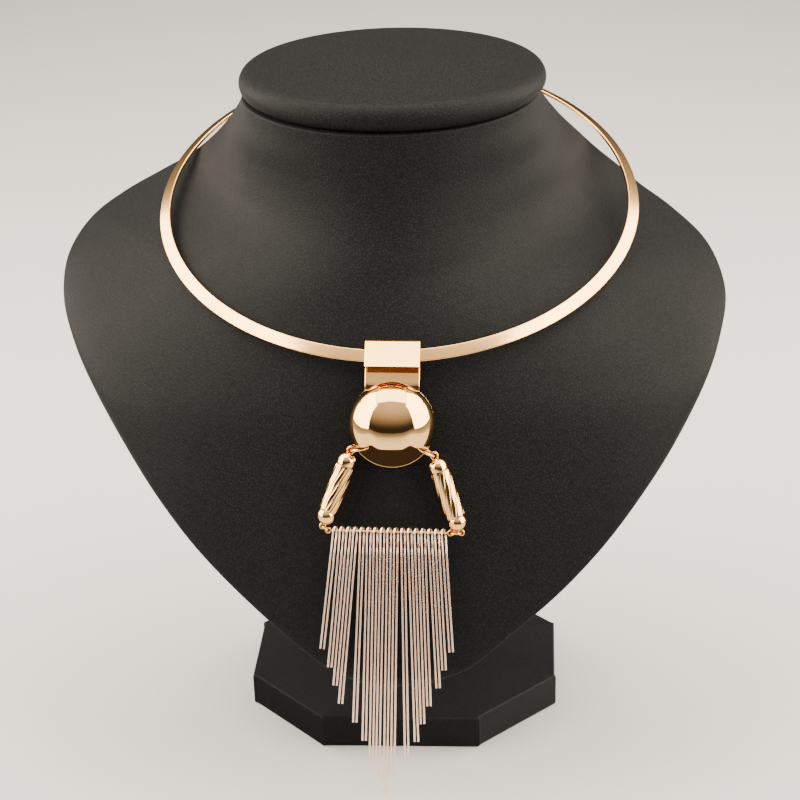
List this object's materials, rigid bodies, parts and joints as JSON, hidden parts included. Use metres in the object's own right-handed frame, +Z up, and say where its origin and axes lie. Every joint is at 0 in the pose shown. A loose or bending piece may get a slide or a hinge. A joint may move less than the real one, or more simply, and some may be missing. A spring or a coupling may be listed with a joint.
{
  "type": "bib necklace on neck bust",
  "caption": "Rigid flat-band collar with a strap-hung half dome, fluted tubes and a tapering hairpin fringe, on a padded neck bust with an octagonal base.",
  "frame": {"origin": "middle of the underside of the octagonal base plate, on the surface it stands on", "axes": "+Z up; -Y is the front, where the pendant hangs; +X to the right seen from the front"},
  "size_m": [0.1822, 0.1589, 0.1861],
  "materials": {
    "leatherette": "black grained synthetic leather, satin",
    "rose_gold": "mirror-polished pale rose gold plating over brass"
  },
  "bodies": {
    "root": {"base_plate": "leatherette", "stand_post": "leatherette", "bust_body": "leatherette", "neck_cap": "leatherette", "collar": "rose_gold", "collar_clasp": "rose_gold", "bail_strap": "rose_gold", "dome": "rose_gold", "jump_ring_left": "rose_gold", "jump_ring_right": "rose_gold", "tube_cap_left": "rose_gold", "tube_cap_right": "rose_gold", "tube_body_left": "rose_gold", "tube_body_right": "rose_gold", "tube_ball_left": "rose_gold", "tube_ball_right": "rose_gold", "lower_ring_left": "rose_gold", "lower_ring_right": "rose_gold", "hanger_wire": "rose_gold", "hairpin_01": "rose_gold", "hairpin_02": "rose_gold", "hairpin_03": "rose_gold", "hairpin_04": "rose_gold", "hairpin_05": "rose_gold", "hairpin_06": "rose_gold", "hairpin_07": "rose_gold", "hairpin_08": "rose_gold", "hairpin_09": "rose_gold", "hairpin_10": "rose_gold", "hairpin_11": "rose_gold", "hairpin_12": "rose_gold", "hairpin_13": "rose_gold", "hairpin_14": "rose_gold", "hairpin_15": "rose_gold", "hairpin_16": "rose_gold", "hairpin_17": "rose_gold"}
  },
  "joints": []
}
